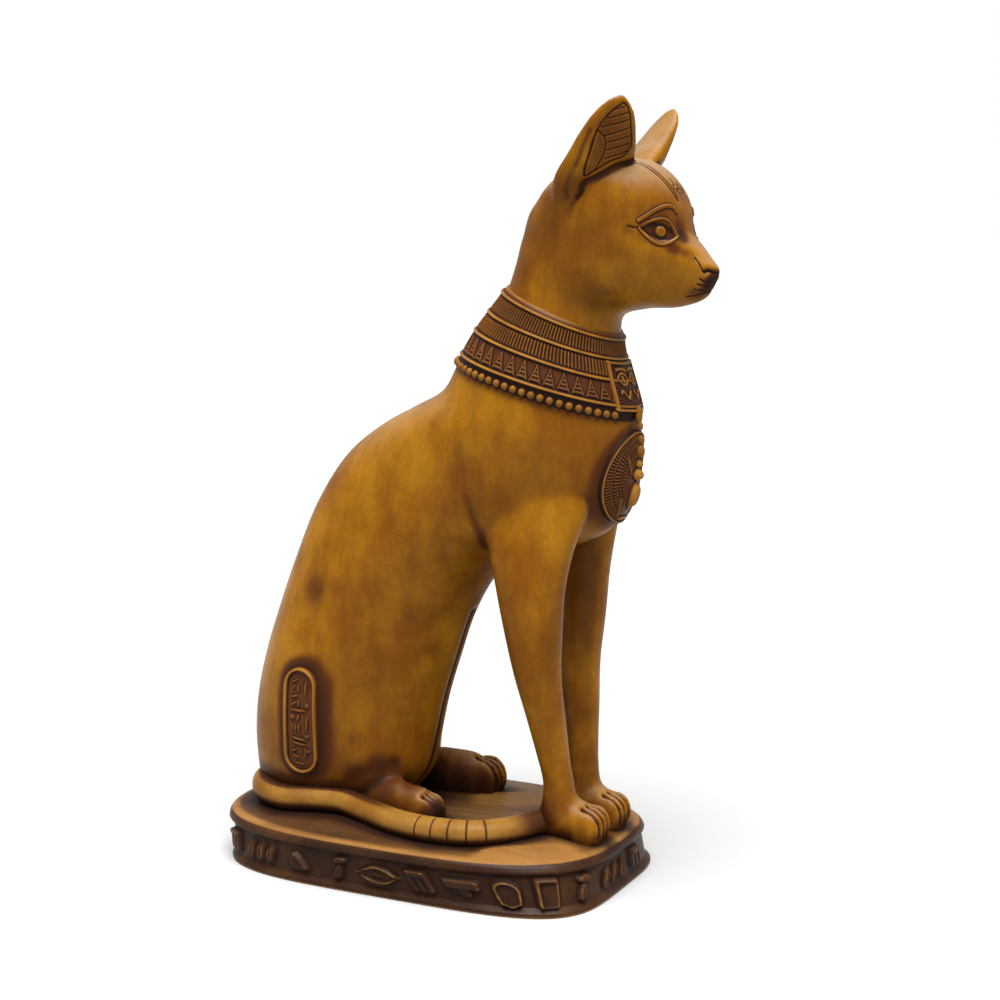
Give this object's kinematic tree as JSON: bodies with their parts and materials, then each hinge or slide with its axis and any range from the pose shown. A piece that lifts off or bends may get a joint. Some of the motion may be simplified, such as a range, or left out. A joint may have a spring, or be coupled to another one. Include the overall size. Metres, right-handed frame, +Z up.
{
  "type": "bastet cat figure",
  "caption": "Seated cat figure in the ancient Egyptian manner with a broad collar and pendant, cast in one with a low plinth it stands on, as a shelf or floor ornament.",
  "frame": {"origin": "middle of the plinth's underside", "axes": "+Z up, +X the way the cat looks, +Y its left"},
  "size_m": [0.4122, 0.2194, 0.6003],
  "materials": {
    "resin": "ochre cast resin, satin, with dark brown antiquing in its recesses"
  },
  "bodies": {
    "root": {"bastet_cat": "resin"}
  },
  "joints": []
}
